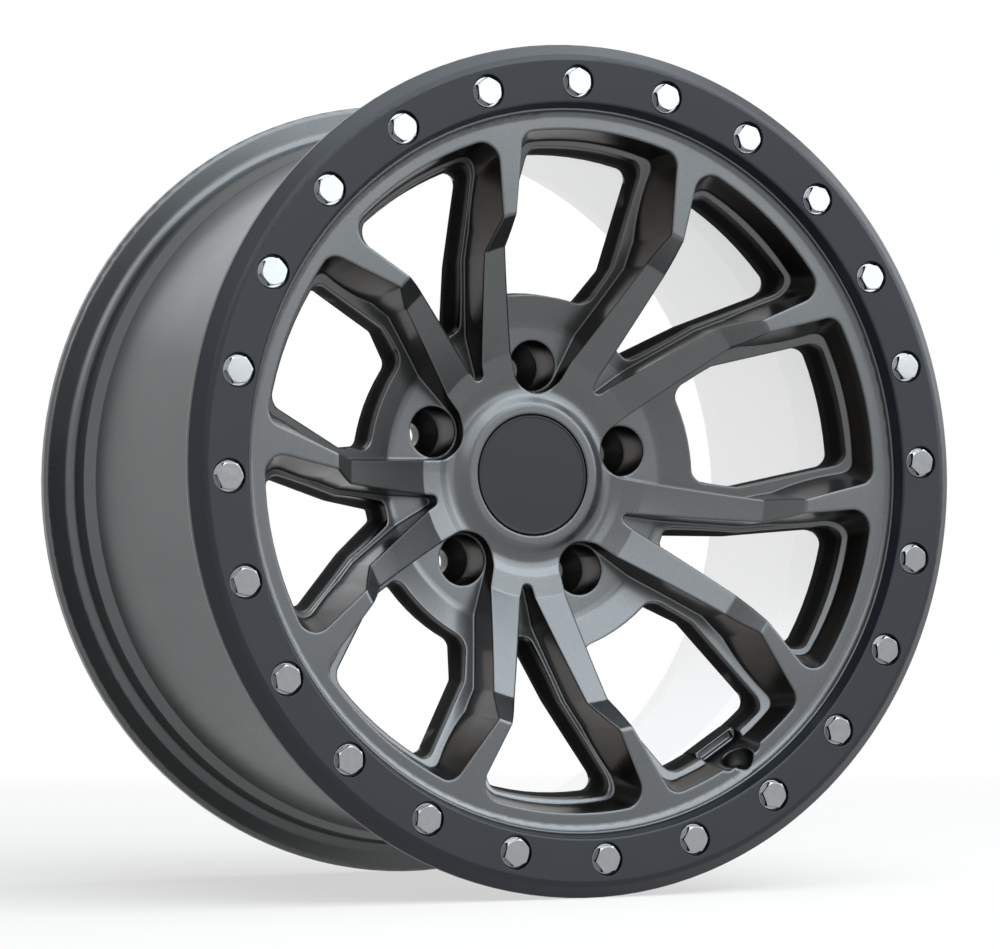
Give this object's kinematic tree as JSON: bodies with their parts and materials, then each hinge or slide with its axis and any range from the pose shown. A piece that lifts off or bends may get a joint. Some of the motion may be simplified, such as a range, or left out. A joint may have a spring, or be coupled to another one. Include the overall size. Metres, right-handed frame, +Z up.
{
  "type": "alloy wheel",
  "caption": "Deep concave cast alloy wheel with split spoke pairs, a bolted black trim ring round the rim and a plain snap-in centre cap.",
  "frame": {"origin": "on the axle, midway between the ring bolts' heads and the rear face of the rim", "axes": "+Y along the axle towards the vehicle, so the outer face looks towards -Y; +Z up; +X to the right seen from the front"},
  "size_m": [0.471, 0.2514, 0.471],
  "materials": {
    "gunmetal": "satin gunmetal paint",
    "ring_black": "matte black",
    "bolt_chrome": "bright chrome",
    "cap_black": "matte black",
    "spring_steel": "bare wire"
  },
  "bodies": {
    "root": {"wheel_casting": "gunmetal", "trim_ring": "ring_black", "ring_bolts": "bolt_chrome", "centre_cap": "cap_black", "cap_spring_ring": "spring_steel"}
  },
  "joints": []
}
